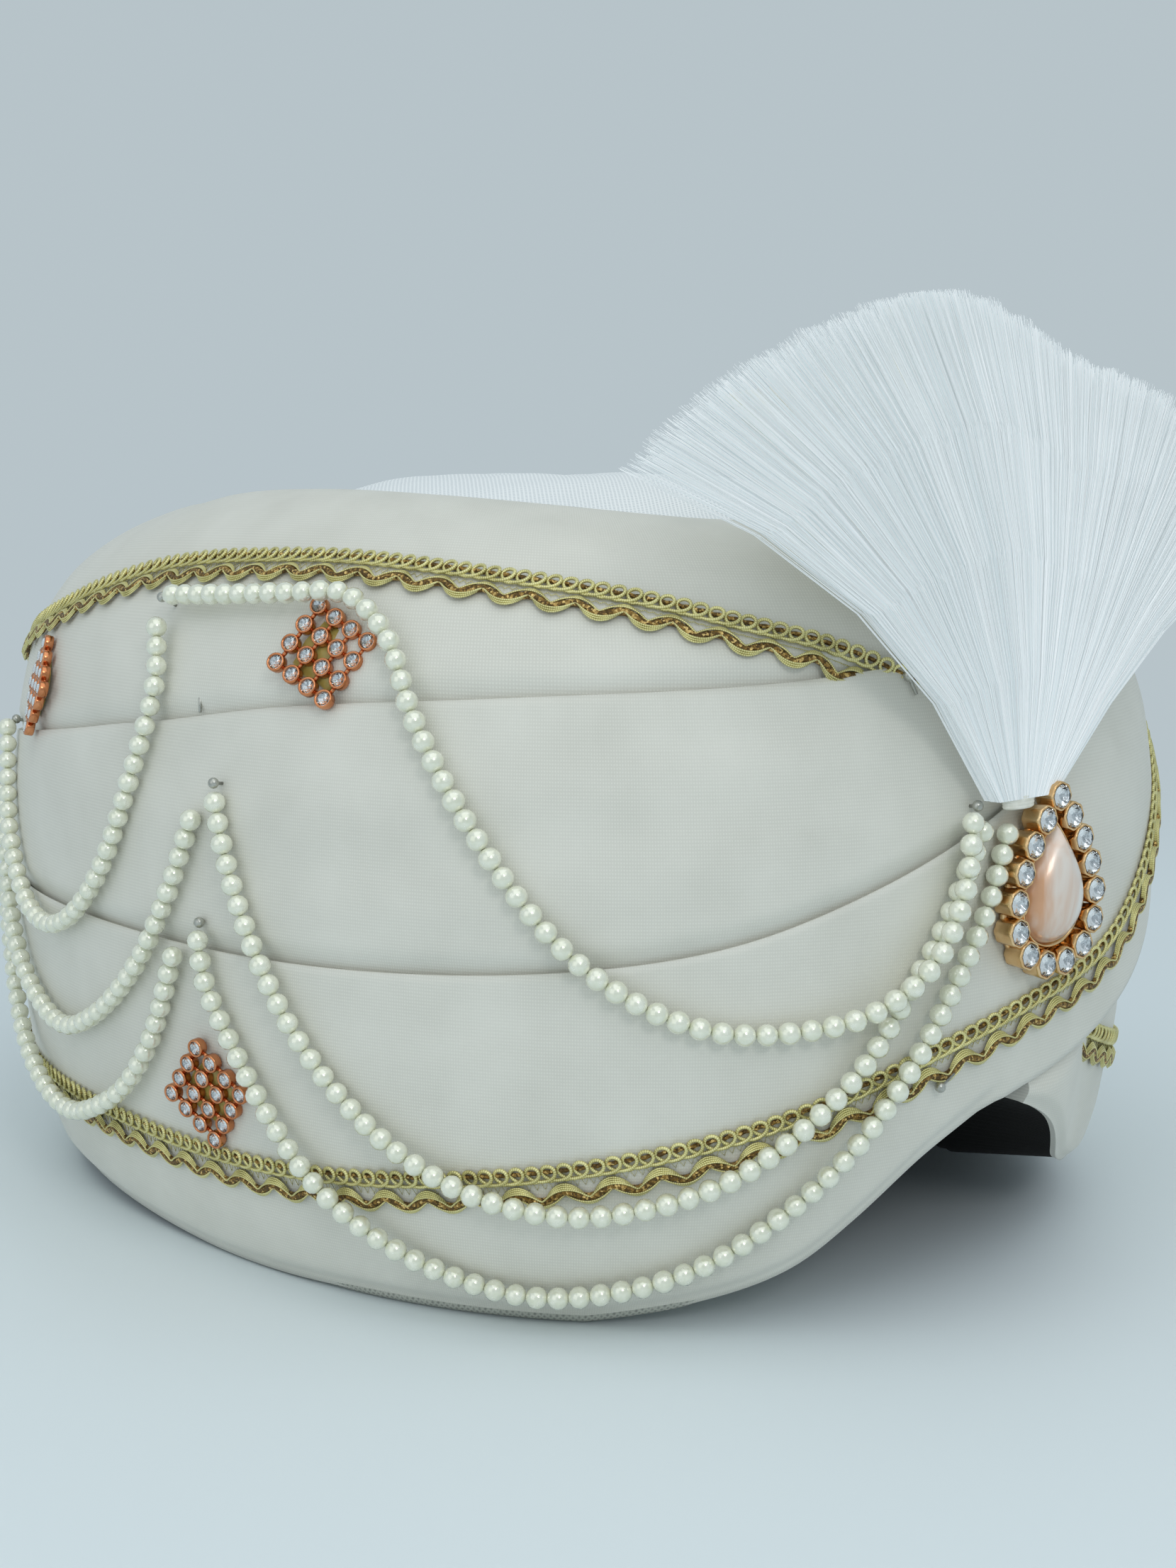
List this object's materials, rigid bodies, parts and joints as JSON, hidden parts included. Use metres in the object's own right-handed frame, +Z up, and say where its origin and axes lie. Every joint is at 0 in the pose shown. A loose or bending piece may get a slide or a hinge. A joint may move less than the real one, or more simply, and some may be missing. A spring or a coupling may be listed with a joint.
{
  "type": "turban",
  "caption": "Ready-wound groom's turban: crossed satin folds over a lined cap, with gold braid, pearl swags, stone ornaments, a drop brooch, a bristle plume and a pleated fan.",
  "frame": {"origin": "on the table under the middle of the whole turban", "axes": "+Z up; the brow, brooch and plume face -Y; the wearer's right side, with the pearl strings, is towards -X"},
  "size_m": [0.2396, 0.2855, 0.194],
  "materials": {
    "satin": "off-white polyester satin, soft sheen, fine weave",
    "lining": "matt black lining cloth",
    "crown_cloth": "white open-weave cloth, matt",
    "braid": "woven metallic gold thread",
    "pearl": "ivory pearl lacquer, foil-like sheen",
    "pin_steel": "nickel-plated steel",
    "copper_setting": "rose-gold plating with clear stones",
    "gold_setting": "pinkish yellow gold plating with clear stones",
    "drop_pearl": "peach pearl lacquer",
    "bristle": "translucent white nylon filament",
    "fan_cloth": "stiffened cream cloth in pleats"
  },
  "bodies": {
    "root": {"crossing_fold": "satin", "lower_fold_left": "satin", "middle_fold": "satin", "upper_fold": "satin", "inner_cap": "lining", "crown_cover": "crown_cloth", "lower_braid": "braid", "upper_braid": "braid", "left_braid": "braid", "pearl_string_1": "pearl", "pearl_string_2": "pearl", "pearl_string_3": "pearl", "pearl_string_1_back": "pearl", "pearl_string_2_back": "pearl", "pearl_string_3_back": "pearl", "pin_1": "pin_steel", "pin_2": "pin_steel", "pin_3": "pin_steel", "pin_1_back": "pin_steel", "pin_2_back": "pin_steel", "pin_3_back": "pin_steel", "pin_front": "pin_steel", "ornament_upper": "copper_setting", "ornament_back": "copper_setting", "ornament_lower": "copper_setting", "brooch_setting": "gold_setting", "brooch_pearl": "drop_pearl", "plume": "bristle", "pleated_fan": "fan_cloth"}
  },
  "joints": []
}
